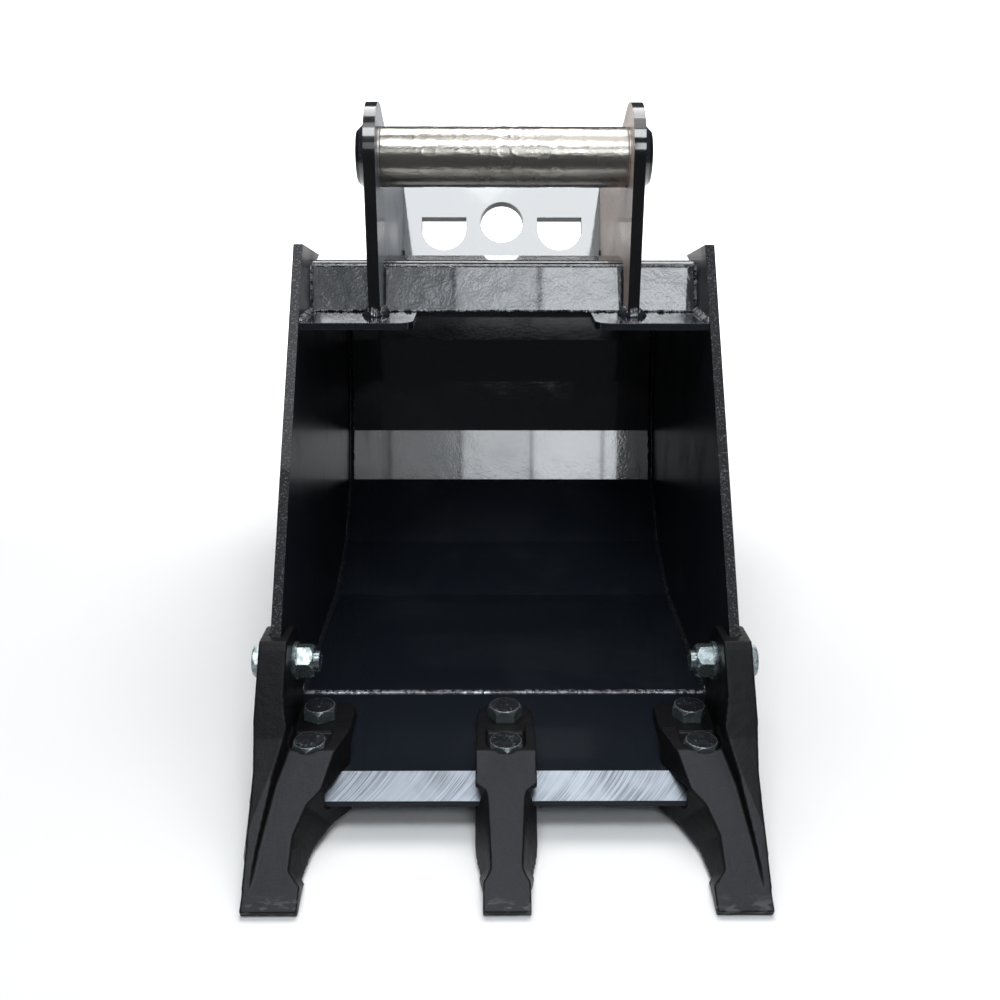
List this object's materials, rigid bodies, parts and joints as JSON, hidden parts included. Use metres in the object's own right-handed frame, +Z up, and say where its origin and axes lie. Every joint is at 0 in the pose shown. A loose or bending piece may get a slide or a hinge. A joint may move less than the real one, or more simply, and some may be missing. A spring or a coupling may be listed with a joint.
{
  "type": "excavator digging bucket",
  "caption": "Narrow excavator digging bucket: folded shell, side plates, bevelled cutting edge with cast teeth on bolts, and a hanger with a coupler bar and lock plate.",
  "frame": {"origin": "centre of the bucket's overall footprint, on the ground that its heel and tooth tips stand on", "axes": "+Z up, -Y towards the tooth tips and the open mouth, +X to the right as seen from in front of the mouth"},
  "size_m": [0.393, 0.6734, 0.4836],
  "materials": {
    "shell_paint": "gloss black-blue paint over folded plate",
    "side_paint": "gloss black paint, rough grey flame-cut edges",
    "edge_paint": "gloss black paint with a bright milled bevel",
    "beam_paint": "gloss black-blue paint with orange peel and runs",
    "ear_paint": "gloss black paint",
    "lock_paint": "gloss black-blue paint",
    "bar_steel": "turned steel under a thin protective film, painted ends",
    "weld_paint": "painted weld bead",
    "seam_weld": "painted weld bead with bright rippled crests",
    "tooth_cast": "satin charcoal coat on cast steel",
    "zinc_bolts": "bright zinc plate with paint overspray",
    "zinc_nuts": "bright zinc plate",
    "zinc_washers": "bright zinc plate"
  },
  "bodies": {
    "root": {"wrapper_shell": "shell_paint", "side_plate_left": "side_paint", "side_plate_right": "side_paint", "cutting_edge": "edge_paint", "top_beam": "beam_paint", "hanger_ear_left": "ear_paint", "hanger_ear_right": "ear_paint", "lock_plate": "lock_paint", "coupler_pin": "bar_steel", "pin_weld_left": "weld_paint", "pin_weld_right": "weld_paint", "floor_weld": "seam_weld", "centre_tooth": "tooth_cast", "corner_tooth_left": "tooth_cast", "corner_tooth_right": "tooth_cast", "centre_tooth_bolts": "zinc_bolts", "corner_bolts_left": "zinc_bolts", "corner_bolts_right": "zinc_bolts", "side_bolt_left": "zinc_bolts", "side_bolt_right": "zinc_bolts", "centre_tooth_nuts": "zinc_nuts", "corner_nuts_left": "zinc_nuts", "corner_nuts_right": "zinc_nuts", "side_nut_left": "zinc_nuts", "side_nut_right": "zinc_nuts", "side_washer_left": "zinc_washers", "side_washer_right": "zinc_washers"}
  },
  "joints": []
}
